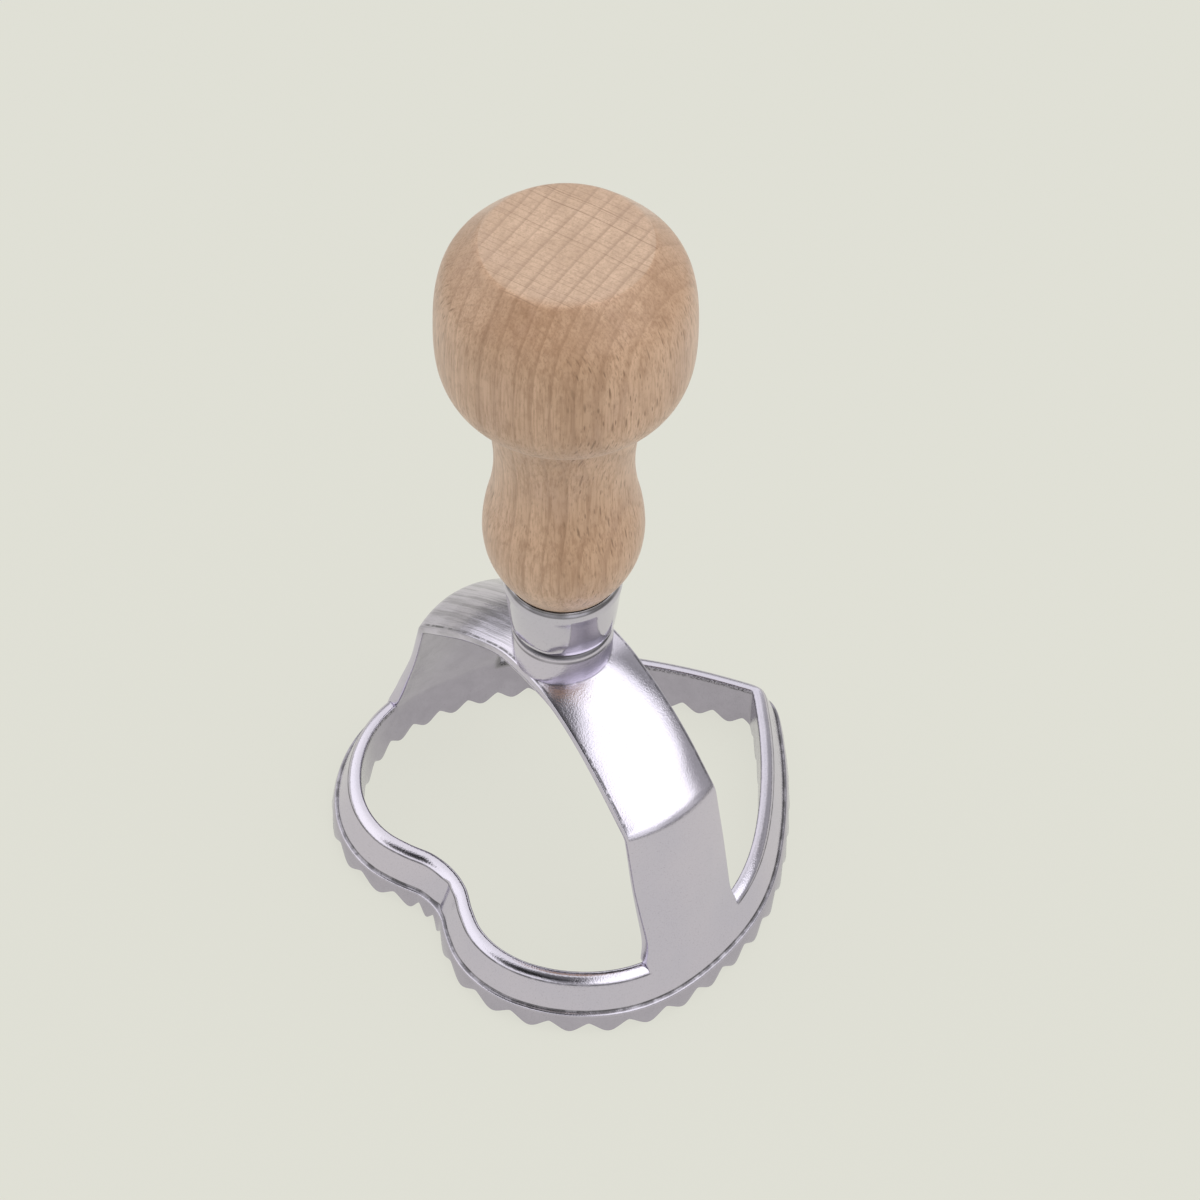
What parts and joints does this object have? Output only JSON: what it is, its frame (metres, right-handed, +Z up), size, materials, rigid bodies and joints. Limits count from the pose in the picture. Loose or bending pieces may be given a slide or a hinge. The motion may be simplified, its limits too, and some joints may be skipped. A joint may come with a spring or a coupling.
{
  "type": "ravioli stamp",
  "caption": "Heart-shaped ravioli stamp: a toothed chromed cutter ring carried by a bridge, with a tapered ferrule and a turned beech knob handle.",
  "frame": {"origin": "on the plane of the tooth tips, in the middle of the heart's bounding box", "axes": "+Z up along the handle, +Y from the heart's cleft to its tip, +X along the bridge to the right"},
  "size_m": [0.0694, 0.0684, 0.1213],
  "materials": {
    "chrome_casting": "bright plated die-casting, slightly grainy on the bridge",
    "chrome_sleeve": "bright plated, turned",
    "beech": "fine sanded, satin",
    "zinc_steel": "zinc plated"
  },
  "bodies": {
    "head": {"cutter_head": "chrome_casting", "fixing_screw": "zinc_steel", "washer": "zinc_steel"},
    "ferrule_sleeve": {"ferrule": "chrome_sleeve"},
    "handle_knob": {"handle": "beech"}
  },
  "joints": [
    {"name": "handle_rise", "type": "slide", "parent": "head", "child": "ferrule_sleeve", "axis": [0, 0, 1], "range_m": [0, 0.0198]},
    {"name": "handle_turn", "type": "hinge", "parent": "ferrule_sleeve", "child": "handle_knob", "pos_m": [0, -0.00655, 0.06], "axis": [0, 0, 1], "range_deg": [0, 3240]}
  ],
  "couplings": [
    {"joint": "handle_rise", "follows": "handle_turn", "m_per_rad": 0.00035014}
  ]
}
